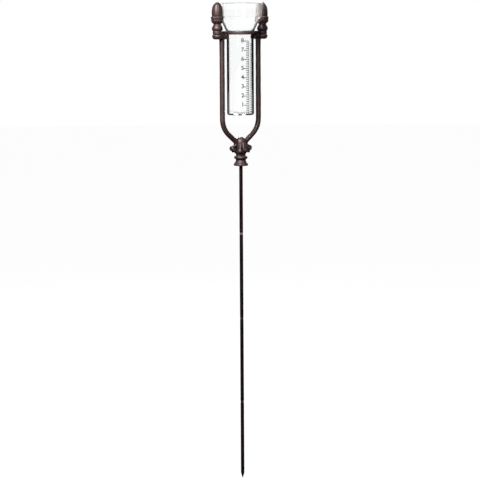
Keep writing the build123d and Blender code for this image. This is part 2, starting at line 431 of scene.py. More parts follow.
@dataclass(frozen=True)
class ClearGlass(Finish):
    """Clear blown glass with slight waves, and painted dark edges, pale veil and lip line. Its heights and
    blurs are in metres, up from the stake's tip.
    """

    label = "clear_vessel_glass"
    tint: Colour = (0.985, 0.992, 0.990)
    # The second colour is painted shade for glass seen edge-on, and the third a pale painted reflection.
    edge: Colour = (0.012, 0.012, 0.013)
    painted_veil: Colour = (0.56, 0.52, 0.50)
    lengthwise: Colour = (1.0, 1.0, 0.45)
    wave_size: float = 26.0
    wave_depth: float = 0.12
    dust_size: float = 3.0
    refraction: float = 1.47
    cone_height: float = 1.012
    shoulder_height: float = 1.028
    collector_height: float = 1.043
    lip_height: float = 1.0766
    cone_blur: float = 0.008
    shoulder_blur: float = 0.012
    collector_blur: float = 0.006
    lip_blur: float = 0.0006
    cone_shift: float = 0.09
    collector_shift: float = 0.27
    edge_step: Range = (0.50, 0.62)
    flat_step: Range = (0.35, 0.8)
    # These two set how strongly the painted pale veil and the painted dark lip line cover the glass.
    painted_veil_cover: float = 0.56
    painted_lip_line_cover: float = 0.7

    def build(self, graph: ShaderGraph) -> None:
        """Lay long soft waves and a trace of dust on a clear body, with painted shade where it is seen
        edge-on: dark below the shoulder, a pale painted veil above it, and a painted dark line round the lip.

        Args:
            graph: The material's empty graph.
        """
        waves = graph.grain(self.wave_size, 1.0, where=graph.stretched(self.lengthwise))
        dust = graph.grain(self.dust_size, 4.0)
        normal = graph.bump(waves, self.wave_depth, 0.35)
        body = graph.principled(
            Base_Color=self.tint,
            Transmission_Weight=1.0,
            IOR=self.refraction,
            Roughness=dust.above(0.55, 0.8) * 0.035,
            Normal=normal,
        )
        # Painted shade: this near-black shader is put where the glass is seen edge-on below the shoulder, and
        # round the lip.
        dark = graph.principled(Base_Color=self.edge, Roughness=0.22 + (dust - 0.5) * 0.1, Normal=normal)
        matt = 0.3 + (dust - 0.5) * 0.2
        # Painted reflection: this pale, half-clear shader is put where the collector is seen edge-on, above
        # the shoulder.
        pale = graph.principled(Base_Color=self.painted_veil, Roughness=matt, Alpha=self.painted_veil_cover)
        height = graph.rise(graph.place())
        # From above, even the middle of an upright wall faces away, so the view's steepness is divided out.
        up = graph.node("ShaderNodeCombineXYZ", None, {"Z": 1.0})
        steepness = 1.0 - graph.facing(Normal=up)
        levelled = (1.02 - steepness * steepness) ** 0.5
        facing = 1.0 - (1.0 - graph.facing()) / levelled
        level = graph.rise(graph.node("ShaderNodeNewGeometry", output="Normal"))
        upright = 1.0 - (level * level).above(*self.flat_step)
        cone = height.above(self.cone_height, self.cone_height + self.cone_blur)
        painted_veil_mask = height.above(self.shoulder_height, self.shoulder_height + self.shoulder_blur)
        collector = height.above(self.collector_height, self.collector_height + self.collector_blur)
        shifted = facing - cone * self.cone_shift + collector * self.collector_shift
        # The mask of the painted edge shade, drawn wider or narrower by height.
        painted_edge_mask = shifted.above(*self.edge_step) * upright
        # Painted shade: a dark line laid round the top of the lip.
        lip = height.above(self.lip_height, self.lip_height + self.lip_blur) * self.painted_lip_line_cover
        # The painted edge is dark below the shoulder and a pale painted veil above it.
        rim = graph.blend(painted_veil_mask, dark, pale)
        glass = graph.blend(painted_edge_mask, body, rim)
        graph.end(graph.blend(lip, glass, dark))


@dataclass(frozen=True)
class FiredPrint(Finish):
    """Dark print fired onto the glass, thin and uneven."""

    label = "fired_scale_print"
    ink: Colour = (0.014, 0.013, 0.014)
    thin: Colour = (0.07, 0.066, 0.07)
    screen_size: float = 0.9
    patch_size: float = 7.0
    ink_depth: float = 0.02

    def build(self, graph: ShaderGraph) -> None:
        """Lay the ink with small thin patches where the screen left less of it.

        Args:
            graph: The material's empty graph.
        """
        screen = graph.grain(self.screen_size)
        patches = graph.grain(self.patch_size, 2.0)
        thinness = screen.above(0.5, 0.75) * 0.35 + patches.above(0.5, 0.7) * 0.25
        graph.surface(
            Base_Color=graph.mix(thinness, self.ink, self.thin),
            Roughness=0.5 + (screen - 0.5) * 0.3,
            Normal=graph.bump(screen, self.ink_depth, 0.5),
        )


@dataclass(frozen=True)
class PaleFloor(Finish):
    """A plain white studio floor."""

    label = "pale_studio_floor"
    dark: Colour = (0.030, 0.030, 0.030)
    light: Colour = (0.036, 0.036, 0.036)
    white: Colour = (1.0, 1.0, 1.0)
    cloud_size: float = 900.0
    glow: float = 0.975

    def build(self, graph: ShaderGraph) -> None:
        """Lay a matt sheet that is lit from within, so that it is white up to the object.

        Args:
            graph: The material's empty graph.
        """
        graph.surface(
            Base_Color=graph.mix(graph.grain(self.cloud_size, 1.0), self.dark, self.light),
            Roughness=0.9,
            Specular_IOR_Level=0.0,
            Emission_Color=self.white,
            Emission_Strength=self.glow,
        )


# ---------------------------------------------------------------------- shapes


def placed(name: str, data: bpy.types.ID) -> bpy.types.Object:
    """Make an object of its data and link it to the scene.

    Args:
        name: The object's name.
        data: Its mesh, curve, lamp or camera.

    Returns:
        The object.
    """
    made = bpy.data.objects.new(name, data)
    bpy.context.scene.collection.objects.link(made)
    return made


def settled(rough: bpy.types.Object) -> bpy.types.Mesh:
    """Work out an object's final mesh and remove the object.

    Args:
        rough: The object.

    Returns:
        The mesh.
    """
    graph = bpy.context.evaluated_depsgraph_get()
    mesh = bpy.data.meshes.new_from_object(rough.evaluated_get(graph))
    bpy.data.objects.remove(rough)
    return mesh


@dataclass
class Shape:
    """A closed surface of vertices and faces."""

    vertices: list[Vector] = field(default_factory=list)
    faces: list[tuple[int, ...]] = field(default_factory=list)

    def __add__(self, other: "Shape") -> "Shape":
        """This shape and another, side by side."""
        moved = [tuple(i + len(self.vertices) for i in face) for face in other.faces]
        return Shape(self.vertices + other.vertices, self.faces + moved)

    def moved(self, x: float = 0.0, y: float = 0.0, z: float = 0.0) -> "Shape":
        """A copy shifted by the given distances."""
        shift = Vector((x, y, z))
        return Shape([v + shift for v in self.vertices], self.faces)

    def turned(self, angle: float) -> "Shape":
        """A copy turned about the upright axis."""
        turn = Matrix.Rotation(math.radians(angle), 3, "Z")
        return Shape([turn @ v for v in self.vertices], self.faces)

    def mesh_object(self, name: str) -> bpy.types.Object:
        """Make the shape a Blender object with smooth faces, in metres.

        Args:
            name: The object's name.

        Returns:
            The object, linked to the scene.
        """
        mesh = bpy.data.meshes.new(name)
        mesh.from_pydata([v * MM for v in self.vertices], [], self.faces)
        mesh.validate()
        mesh.shade_smooth()
        return placed(name, mesh)


def in_plane(*points: tuple[float, float]) -> list[Vector]:
    """Points in the fork's own plane, from their distances from the axis and their heights."""
    return [Vector((reach, 0.0, height)) for reach, height in points]


def rounded(corners: Sequence[tuple[float, ...]], steps: int = 8) -> Outline:
    """Round the corners of an open outline.

    Args:
        corners: (radius from the axis, height, corner radius) triples; the last may be left out.
        steps: How many points each rounded corner gets.

    Returns:
        The outline's points.
    """
    points: Outline = []
    last = len(corners) - 1
    for i, corner in enumerate(corners):
        here = Vector(corner[:2])
        size = corner[2] if len(corner) > 2 else 0.0
        if size <= 0.0 or i in (0, last):
            points.append(tuple(here))
            continue
        back = (Vector(corners[i - 1][:2]) - here).normalized()
        ahead = (Vector(corners[i + 1][:2]) - here).normalized()
        half = back.angle(ahead) / 2
        reach = size / math.tan(half)
        centre = here + (back + ahead).normalized() * (size / math.sin(half))
        start = here + back * reach - centre
        turn = start.angle_signed(here + ahead * reach - centre)
        for step in range(steps + 1):
            points.append(tuple(centre + Matrix.Rotation(-turn * step / steps, 2) @ start))
    return points


def flowing(points: Sequence[Sequence[float]], steps: int = 8) -> list[Vector]:
    """Run a smooth curve through a few points.

    Args:
        points: The points that the curve passes through, in two or three dimensions.
        steps: How many pieces each stretch between two points gets.

    Returns:
        The points along the curve.
    """
    knots = [Vector(p) for p in points]
    knots = [knots[0] * 2 - knots[1], *knots, knots[-1] * 2 - knots[-2]]
    curve = []
    for a, b, c, d in zip(knots, knots[1:], knots[2:], knots[3:]):
        for step in range(steps):
            t = step / steps
            square = (a * 2 - b * 5 + c * 4 - d) * t**2
            cube = (b * 3 - a - c * 3 + d) * t**3
            curve.append((b * 2 + (c - a) * t + square + cube) / 2)
    curve.append(knots[-2])
    return curve


def lathe(
    outline: Sequence[Sequence[float]], segments: int, relief: Optional[Relief] = None, loop: bool = False
) -> Shape:
    """Turn an outline about the upright axis.

    Args:
        outline: (radius, height) points. A radius of 0 closes the surface in one vertex.
        segments: How many steps one turn has.
        relief: What to add to the radius at an angle in radians and a height.
        loop: Whether the outline joins up with itself, as a ring's does.

    Returns:
        The turned surface.
    """
    shape = Shape()
    rings: list[list[int]] = []
    for radius, height in outline:
        start = len(shape.vertices)
        if radius < 1e-6:
            shape.vertices.append(Vector((0.0, 0.0, height)))
            rings.append([start] * segments)
            continue
        for step in range(segments):
            angle = math.tau * step / segments
            reach = radius + (relief(angle, height) if relief else 0.0)
            shape.vertices.append(Vector((reach * math.cos(angle), reach * math.sin(angle), height)))
        rings.append(list(range(start, start + segments)))
    pairs = list(zip(rings, rings[1:]))
    if loop:
        pairs.append((rings[-1], rings[0]))
    for low, high in pairs:
        for i in range(segments):
            j = (i + 1) % segments
            face = tuple(dict.fromkeys([low[i], low[j], high[j], high[i]]))
            if len(face) > 2:
                shape.faces.append(face)
    return shape


def swept(
    path: Sequence[Vector], section: Section, side: Vector, corners: int, squareness: float = 2.0
) -> Shape:
    """Carry a rounded section along a path.

    Args:
        path: The points of the path.
        section: Half width and half thickness at a share of the path from 0 to 1.
        side: The direction of the section's width.
        corners: How many points the section has.
        squareness: 2 for an ellipse, and more for a section nearer to a rectangle.

    Returns:
        The swept surface, closed at both ends.
    """
    shape = Shape()
    last = len(path) - 1
    power = 2.0 / squareness
    for i, point in enumerate(path):
        ahead = (path[min(i + 1, last)] - path[max(i - 1, 0)]).normalized()
        across = (side - ahead * side.dot(ahead)).normalized()
        up = ahead.cross(across)
        width, thickness = section(i / last)
        for step in range(corners):
            angle = math.tau * step / corners
            c, s = math.cos(angle), math.sin(angle)
            offset = across * (math.copysign(abs(c) ** power, c) * width)
            offset += up * (math.copysign(abs(s) ** power, s) * thickness)
            shape.vertices.append(point + offset)
    for i in range(last):
        for step in range(corners):
            a = i * corners + step
            b = i * corners + (step + 1) % corners
            shape.faces.append((a, b, b + corners, a + corners))
    shape.faces.append(tuple(range(corners))[::-1])
    shape.faces.append(tuple(range(last * corners, (last + 1) * corners)))
    return shape


def fused(shape: Shape, name: str, voxel: float, smoothing: int) -> bpy.types.Object:
    """Melt overlapping closed surfaces into one skin, as a casting has.

    Args:
        shape: The surfaces.
        name: The new object's name.
        voxel: The size of the smallest kept detail.
        smoothing: How many times the skin is relaxed.

    Returns:
        The object with its final mesh.
    """
    rough = shape.mesh_object(name + "_rough")
    remesh = rough.modifiers.new("skin", "REMESH")
    remesh.mode = "VOXEL"
    remesh.voxel_size = voxel * MM
    relax = rough.modifiers.new("relax", "SMOOTH")
    relax.factor = 0.5
    relax.iterations = smoothing
    mesh = settled(rough)
    mesh.name = name
    mesh.shade_smooth()
    return placed(name, mesh)


def roughen(piece: bpy.types.Object, sizes: Sequence[tuple[float, float]]) -> None:
    """Push a skin in and out a little, as a sand casting's is.

    Args:
        piece: The object whose mesh is moved.
        sizes: (patch width, depth) pairs.
    """
    places = []
    for vertex in piece.data.vertices:
        push = sum(noise.noise(vertex.co / (width * MM)) * depth for width, depth in sizes)
        places.extend(vertex.co + vertex.normal * (push * MM))
    piece.data.vertices.foreach_set("co", places)
    piece.data.update()


class Body(str, Enum):
    """The rigid bodies of the gauge that pieces ride on."""

    HEAD = "head"
    FINIAL_LEFT = "finial_l"
    FINIAL_RIGHT = "finial_r"
    GLASS = "glass"
    TIP = "stake_tip"
    LOW = "stake_low"
    MIDDLE = "stake_mid"


class Slot(str, Enum):
    """The record's material slots."""

    CAST = "cast_brown"
    STEEL = "bare_steel"
    GLASS = "clear_glass"
    PRINT = "print_grey"


def painted(piece: bpy.types.Object, finish: Finish) -> None:
    """Give a piece one finish, in place of any that it has."""
    piece.data.materials.clear()
    piece.data.materials.append(finish.material())


def finished(piece: bpy.types.Object, body: Body, slot: Slot, finish: Finish, *nodes: str) -> None:
    """Dress a new piece and tie it to the frame.

    Args:
        piece: The piece.
        body: The body it rides on.
        slot: The record's slot for it; not used.
        finish: Its finish.
        nodes: The CAD nodes it stands for.
    """
    painted(piece, finish)
    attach(piece, body.value)
    if nodes:
        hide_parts(*nodes)
    log.info("%s: %d faces on %s", piece.name, len(piece.data.polygons), body.value)


def dress_node(node: str, finish: Finish) -> None:
    """Give a carried-over CAD node a finish."""
    painted(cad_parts[node], finish)
    log.info("%s: kept from the frame, finished with %s", node, finish.label)


def span(node: str) -> tuple[Vector, Vector]:
    """A CAD node's lowest and highest corners."""
    low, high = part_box(node)
    return low / MM, high / MM


def stud_reach() -> float:
    """How far the right finial's stud stands from the axis."""
    low, high = span("finial_stud_right")
    return (low.x + high.x) / 2


# ---------------------------------------------------------------- sub-assemblies


@dataclass
class Finial:
    """An acorn finial: ball, neck, scaled cup and ribbed nut in one casting."""

    node: str
    body: Body
    spin: float = 0.0
    scales: int = 12
    scale_rows: tuple[float, ...] = (16.6, 24.4, 32.2)
    scale_depth: float = 1.7
    scale_lip: float = 0.16
    ribs: int = 18
    rib_depth: float = 0.13
    waver_width: float = 6.0
    waver_depth: float = 0.16
    ripple_scale: float = 3.1
    ripple_depth: float = 0.07
    segments: int = 168
    ball: tuple = ((9.6, 0.0), (11.3, 1.6), (12.1, 4.8), (11.5, 8.6), (9.8, 11.8), (8.3, 14.2), (8.5, 15.4))
    cup: tuple = (
        (8.5, 15.4), (9.7, 17.0), (11.6, 20.2), (12.7, 24.2), (13.1, 27.4), (13.0, 30.2), (12.4, 32.2),
    )
    nut: tuple = (
        (11.6, 33.0), (12.1, 36.0), (12.1, 41.6), (11.6, 47.4), (10.5, 52.2),
        (8.6, 56.6), (6.2, 60.2), (3.4, 62.6), (1.1, 63.35),
    )

    def scale_relief(self, angle: float, height: float) -> float:
        """How far the cup's overlapping scales stand out.

        Args:
            angle: The angle round the finial, in radians.
            height: The height above the finial's seat.

        Returns:
            The height of the relief.
        """
        rows = self.scale_rows
        for row, (low, high) in enumerate(zip(rows, rows[1:])):
            if low <= height < high:
                rise = (height - low) / (high - low)
                turn = angle * self.scales / math.tau + 0.5 * (row % 2)
                across = abs(turn - math.floor(turn) - 0.5) * 2.0
                crown = max(0.0, 1.0 - across**2.2 - 0.35 * max(0.0, rise - 0.55))
                lip = min(1.0, (1.0 - rise) / self.scale_lip)
                return self.scale_depth * crown * (0.25 + 0.75 * rise**0.8) * math.sqrt(lip)
        return 0.0

    def relief(self, angle: float, height: float) -> float:
        """All that stands out from the turned outline at one point.

        Args:
            angle: The angle round the finial, in radians.
            height: The height above the finial's seat.

        Returns:
            The height of the scales, the ribs and the casting's own waver.
        """
        push = self.scale_relief(angle, height)
        nut_low, nut_high = self.nut[0][1], self.nut[-1][1]
        if height > nut_low:
            share = min(1.0, max(0.0, (nut_high - height) / (nut_high - nut_low)))
            fade = math.sin(math.pi * share**0.8)
            push += self.rib_depth * math.cos(self.ribs * angle) * fade
        where = Vector((math.cos(angle) * 2.0 + self.spin, math.sin(angle) * 2.0, height / self.waver_width))
        push += self.waver_depth * noise.noise(where)
        return push + self.ripple_depth * noise.noise(where * self.ripple_scale)

    def build(self) -> None:
        """Turn the finial, put it on its stud and paint it."""
        low, high = span(self.node)
        centre = (low + high) / 2
        outline = [(0.0, 0.0), *flowing(self.ball, 7), *flowing(self.cup, 12)[1:], *flowing(self.nut, 8)]
        outline.append((0.0, high.z - low.z))
        shape = lathe(outline, self.segments, self.relief).turned(self.spin)
        piece = shape.moved(centre.x, centre.y, low.z).mesh_object(self.node + "_acorn")
        finished(piece, self.body, Slot.CAST, CastIronPaint(), self.node)


@dataclass
class ForkCasting:
    """The cast fork: hub with leaves, two round arms, and a bracket on each arm's top."""

    node: str = "fork_casting"
    voxel: float = 0.68
    smoothing: int = 4
    skin: tuple = ((16.0, 0.22), (5.0, 0.12), (2.2, 0.06))
    arm_radius: float = 5.75
    arm_inset: float = 12.9
    arm_straight: float = 186.0
    bend_radius: float = 45.0
    bend_turn: float = 52.0
    root_x: float = 4.0
    socket_radius: float = 4.35
    socket_depth: float = 37.2
    bracket_width: float = 6.6
    bracket_depth: float = 10.4
    bracket_nose: float = 36.5
    boss: tuple = ((0.0, 0.0), (5.4, 0.1), (8.6, 1.1), (10.8, 3.4), (11.5, 6.4), (11.4, 8.8), (10.7, 10.2))
    foot_lobes: int = 8
    foot_lobe_depth: float = 0.45
    foot_lobe_height: float = 9.0
    core: tuple = (
        (14.3, 0.0), (15.6, 1.0), (15.9, 3.0), (14.9, 5.2), (12.9, 8.0), (11.4, 10.9), (11.2, 13.4),
        (12.6, 15.2), (14.8, 17.0), (15.2, 19.2), (14.4, 21.4), (11.8, 22.9), (10.6, 24.8),
        (11.2, 28.0), (12.4, 33.0), (13.4, 42.0), (13.5, 49.0), (13.2, 54.2), (11.8, 58.6),
        (8.8, 62.2), (4.8, 64.4),
    )
    crown: tuple = ((2.0, 65.2), (0.0, 65.4))
    ear_root: tuple = ((10.5, 57.5), (13.4, 53.2), (16.2, 49.2))
    curl_centre: tuple[float, float] = (22.6, 39.2)
    curl_radius: float = 6.1
    curl_closing: float = 0.13
    curl_start: float = 118.0
    curl_step: float = 15.0
    curl_steps: int = 27
    web: tuple = ((11.0, 29.0), (16.0, 32.4), (21.5, 36.0))
    eye_ends: tuple[float, ...] = (-4.6, -3.6, 0.0, 3.6, 4.6)
    leaf: tuple = ((11.0, 53.5), (14.4, 48.5), (16.6, 43.0), (17.8, 38.0), (19.2, 34.2), (20.8, 33.0))
    vein_roots: tuple[int, ...] = (10, 15, 20)
    stem: tuple = ((10.5, 51.5), (13.4, 46.0), (15.4, 39.5), (16.6, 34.0), (15.6, 30.2))

    def __post_init__(self) -> None:
        """Read the casting's places from the frame."""
        self.hub_z = span(self.node)[0].z
        self.top_z = span("holder_ring")[0].z
        self.boss_x = stud_reach()
        self.arm_x = self.boss_x - self.arm_inset
        self.bend_z = self.top_z - self.arm_straight

    def scallop(self, angle: float, height: float) -> float:
        """The foot's shallow lobes, fading out above it."""
        fade = max(0.0, 1.0 - height / self.foot_lobe_height) if height > 0.0 else 0.0
        return self.foot_lobe_depth * math.cos(self.foot_lobes * angle) * fade

    def hub(self) -> Shape:
        """The hub's turned core, bored where the stake goes in, with a scalloped foot."""
        inner = [(0.0, self.socket_depth), (self.socket_radius, self.socket_depth), (self.socket_radius, 0.0)]
        return lathe([*inner, *flowing(self.core, 5), *self.crown], 96, self.scallop).moved(z=self.hub_z)

    def arm(self) -> Shape:
        """One round arm from its bracket down into the hub.

        Returns:
            The arm on the +X side.
        """
        turn = math.radians(self.bend_turn)
        centre = Vector((self.arm_x - self.bend_radius, 0.0, self.bend_z))
        path = [Vector((self.arm_x, 0.0, self.top_z - self.bracket_depth * share)) for share in (0.4, 1.0)]
        for step in range(1, 12):
            path.append(path[1].lerp(Vector((self.arm_x, 0.0, self.bend_z)), step / 12))
        for step in range(15):
            angle = turn * step / 14
            path.append(centre + self.bend_radius * Vector((math.cos(angle), 0.0, -math.sin(angle))))
        end = path[-1]
        drop = (end.x - self.root_x) / math.tan(turn)
        root = Vector((self.root_x, 0.0, end.z - drop))
        for step in range(1, 9):
            path.append(end.lerp(root, step / 8))

        def round_bar(share: float) -> tuple[float, float]:
            """The arm swells a little at each end."""
            swell = 0.9 * max(0.0, share - 0.86) / 0.14 + 0.7 * max(0.0, 0.05 - share) / 0.05
            return (self.arm_radius + swell, self.arm_radius + swell)

        return swept(path, round_bar, FORWARD, 32)

    def bracket(self) -> Shape:
        """The pad on an arm's top, with a rounded boss under the finial.

        Returns:
            The bracket on the +X side.
        """
        middle = self.top_z - self.bracket_depth / 2
        nose, back = in_plane((self.bracket_nose, middle), (self.boss_x, middle))
        path = [nose.lerp(back, step / 14) for step in range(15)]

        def pad(share: float) -> tuple[float, float]:
            """The pad's nose is rounded off, and its back runs into the boss."""
            rise = math.sqrt(min(1.0, 0.16 + share / 0.22))
            return (self.bracket_width * rise, self.bracket_depth / 2 * min(1.0, 0.35 + rise * 0.65))

        boss = lathe([*flowing(self.boss, 5), (0.0, self.bracket_depth)], 64)
        boss = boss.moved(self.boss_x, 0.0, self.top_z - self.bracket_depth)
        return swept(path, pad, FORWARD, 32, 3.4) + boss

    def ear(self) -> Shape:
        """A leaf that rolls outward into a round curled tip.

        Returns:
            The leaf with its midrib, the web under it and the eye of its roll, on the +X side.
        """
        centre = in_plane(self.curl_centre)[0]
        path = in_plane(*self.ear_root)
        for step in range(self.curl_steps):
            angle = math.radians(self.curl_start - self.curl_step * step)
            radius = self.curl_radius - self.curl_closing * step
            path.append(centre + radius * Vector((math.cos(angle), 0.0, math.sin(angle))))

        def blade(share: float) -> tuple[float, float]:
            """The leaf widens towards the roll and narrows inside it."""
            return (3.4 + 3.0 * math.sin(math.pi * min(1.0, share * 1.15)) ** 0.8, 1.45)

        def midrib(share: float) -> tuple[float, float]:
            """The midrib thins all the way to its end."""
            return (0.9 * (1.1 - share), 0.9 * (1.1 - share))

        def bridge(share: float) -> tuple[float, float]:
            """The web thins towards the roll."""
            return (4.6 - 1.2 * share, 3.4 - 1.2 * share)

        def pin(share: float) -> tuple[float, float]:
            """The eye bulges in its middle."""
            return (2.4 + 0.7 * math.sin(math.pi * share),) * 2

        ridge = [path[0] + Vector((1.0, 0.0, 0.8))]
        ridge += [p + Vector((p.x - centre.x, 0.0, p.z - centre.z)).normalized() * 1.25 for p in path[2:18]]
        leaf = swept(flowing(path, 3), blade, FORWARD, 24, 2.6)
        leaf += swept(flowing(ridge, 3), midrib, FORWARD, 12)
        leaf += swept(flowing(in_plane(*self.web), 6), bridge, FORWARD, 20)
        leaf += swept([centre + FORWARD * y for y in self.eye_ends], pin, Vector((1.0, 0.0, 0.0)), 20)
        return leaf.moved(z=self.hub_z)

    def lobe(self) -> Shape:
        """A broad leaf that lies against the hub and lifts at its tip, with a midrib and side veins.

        Returns:
            The leaf on the +X side.
        """
        spine = flowing(in_plane(*self.leaf), 6)

        def blade(share: float) -> tuple[float, float]:
            """Narrow at the root, broad about halfway, and narrow again at the tip."""
            return ((2.8 + 5.0 * math.sin(math.pi * share**0.9) ** 0.9) * (1.0 - 0.35 * share**6), 2.2)

        def vein(share: float) -> tuple[float, float]:
            """A vein thins towards its end."""
            return (0.75 - 0.3 * share, 0.75 - 0.3 * share)

        leaf = swept(spine, blade, FORWARD, 24, 2.2)
        leaf += swept([p + Vector((1.7, 0.0, 0.6)) for p in spine[2:-3]], vein, FORWARD, 12)
        for start in self.vein_roots:
            root = spine[start] + Vector((1.5, 0.0, 0.4))
            for hand in (-1.0, 1.0):
                tip = spine[start + 5] + Vector((-0.2, hand * 5.0, 1.6))
                bend = root.lerp(tip, 0.55) + Vector((0.7, 0.0, 0.9))
                leaf += swept(flowing([root, bend, tip], 5), vein, Vector((0.0, 0.3, 1.0)), 10)
        return leaf.moved(z=self.hub_z)

    def rib(self) -> Shape:
        """A raised stem between two leaves that swells into a bud near its lower end.

        Returns:
            The stem on the +X side.
        """

        def bud(share: float) -> tuple[float, float]:
            """Thin above and round below."""
            swell = math.exp(-(((share - 0.80) / 0.30) ** 2))
            return (1.3 + 4.4 * swell, 1.3 + 3.0 * swell)

        return swept(flowing(in_plane(*self.stem), 6), bud, FORWARD, 18).moved(z=self.hub_z)

    def build(self) -> None:
        """Fuse all parts of the casting into one skin and paint it."""
        whole = self.hub()
        for turn in (0.0, 180.0):
            half = self.arm() + self.bracket() + self.ear()
            whole += half.turned(turn) + self.lobe().turned(turn + 90.0)
        for turn in (45.0, 135.0, 225.0, 315.0):
            whole += self.rib().turned(turn)
        piece = fused(whole, "fork_cast", self.voxel, self.smoothing)
        roughen(piece, self.skin)
        finished(piece, Body.HEAD, Slot.CAST, CastIronPaint(), self.node)


@dataclass
class HolderRing:
    """The ring that carries the vessel, with a lug under each finial."""

    node: str = "holder_ring"
    voxel: float = 0.5
    smoothing: int = 2
    skin: tuple = ((14.0, 0.16), (4.0, 0.08))
    bore_radius: float = 31.6
    outer_radius: float = 38.5
    edge_round: float = 1.9
    lug_half_width: float = 6.4
    lug_sink: float = 0.05
    lug_overlap: float = 0.6
    eye_radius: float = 10.2
    eye_round: float = 1.8

    def build(self) -> None:
        """Fuse the band, its lugs and their eyes, and paint them."""
        low, high = span(self.node)
        eye_x = stud_reach()
        thickness = high.z - low.z
        band = (self.bore_radius + self.outer_radius) / 2
        corners = [
            (band, 0.0),
            (self.outer_radius, 0.0, self.edge_round),
            (self.outer_radius, thickness, self.edge_round),
            (self.bore_radius, thickness, self.edge_round * 0.5),
            (self.bore_radius, 0.0, self.edge_round * 0.5),
            (band - 0.01, 0.0),
        ]
        whole = lathe(rounded(corners), 200, loop=True)
        edge = ((self.eye_radius, 0.0, self.eye_round), (self.eye_radius, thickness, self.eye_round))
        eye = lathe(rounded([(0.0, 0.0), *edge, (0.0, thickness)]), 72).moved(x=eye_x)
        start = band + self.lug_overlap
        path = in_plane(*((start + (eye_x - start) * step / 8, thickness / 2) for step in range(9)))

        def bar(share: float) -> tuple[float, float]:
            """The lug is as thick as the band all along, but for a hair."""
            return (self.lug_half_width, thickness / 2 - self.lug_sink)

        lug = swept(path, bar, FORWARD, 32, 4.0)
        for turn in (0.0, 180.0):
            whole += (lug + eye).turned(turn)
        piece = fused(whole.moved(z=low.z), "holder_ring_cast", self.voxel, self.smoothing)
        roughen(piece, self.skin)
        finished(piece, Body.HEAD, Slot.CAST, CastIronPaint(), self.node)


@dataclass
class GlassVessel:
    """The one-piece vessel: measuring tube, cone and collector."""

    node: str = "glass_vessel"
    tube_radius: float = 30.0
    wall: float = 2.4
    base: float = 4.0
    ring_gap: float = 1.6
    seat_gap: float = 0.3
    cone_angle: float = 25.0
    shoulder_angle: float = 42.0
    shoulder_rise: float = 6.6
    foot_round: float = 4.0
    neck_round: float = 14.0
    shoulder_round: float = 8.0
    collector_round: float = 5.4
    inner_collector_round: float = 3.0
    lip_share: float = 0.49
    segments: int = 240

    def inside(self, corner: tuple[float, float], below: float, above: float) -> tuple[float, float]:
        """The inner corner that goes with an outer one.

        Args:
            corner: The outer corner.
            below: The angle from upright of the wall below it.
            above: The angle from upright of the wall above it.

        Returns:
            The inner corner.
        """
        middle = math.radians(below + above) / 2
        reach = self.wall / math.cos(math.radians(above - below) / 2)
        return (corner[0] - reach * math.cos(middle), corner[1] + reach * math.sin(middle))

    def build(self) -> None:
        """Turn the double wall and make it clear glass."""
        low, high = span(self.node)
        ring_top = span("holder_ring")[1].z
        slope = math.tan(math.radians(self.cone_angle))
        seat = self.ring_gap - self.seat_gap / math.cos(math.radians(self.cone_angle))
        collector_radius = high.x
        tube_top = (self.tube_radius, ring_top - seat / slope)
        shoulder_radius = collector_radius - self.shoulder_rise * math.tan(math.radians(self.shoulder_angle))
        shoulder = (shoulder_radius, tube_top[1] + (shoulder_radius - self.tube_radius) / slope)
        collector = (collector_radius, shoulder[1] + self.shoulder_rise)
        lip = self.wall * self.lip_share
        corners = [
            (0.0, low.z),
            (self.tube_radius, low.z, self.foot_round),
            (*tube_top, self.neck_round),
            (*shoulder, self.shoulder_round),
            (*collector, self.collector_round),
            (collector_radius, high.z, lip),
            (collector_radius - self.wall, high.z, lip),
            (*self.inside(collector, self.shoulder_angle, 0.0), self.inner_collector_round),
            (*self.inside(shoulder, self.cone_angle, self.shoulder_angle), self.shoulder_round),
            (*self.inside(tube_top, 0.0, self.cone_angle), self.neck_round),
            (self.tube_radius - self.wall, low.z + self.base, self.foot_round),
            (0.0, low.z + self.base),
        ]
        piece = lathe(rounded(corners, 12), self.segments).mesh_object("glass_vessel_blown")
        finished(piece, Body.GLASS, Slot.GLASS, ClearGlass(), self.node)


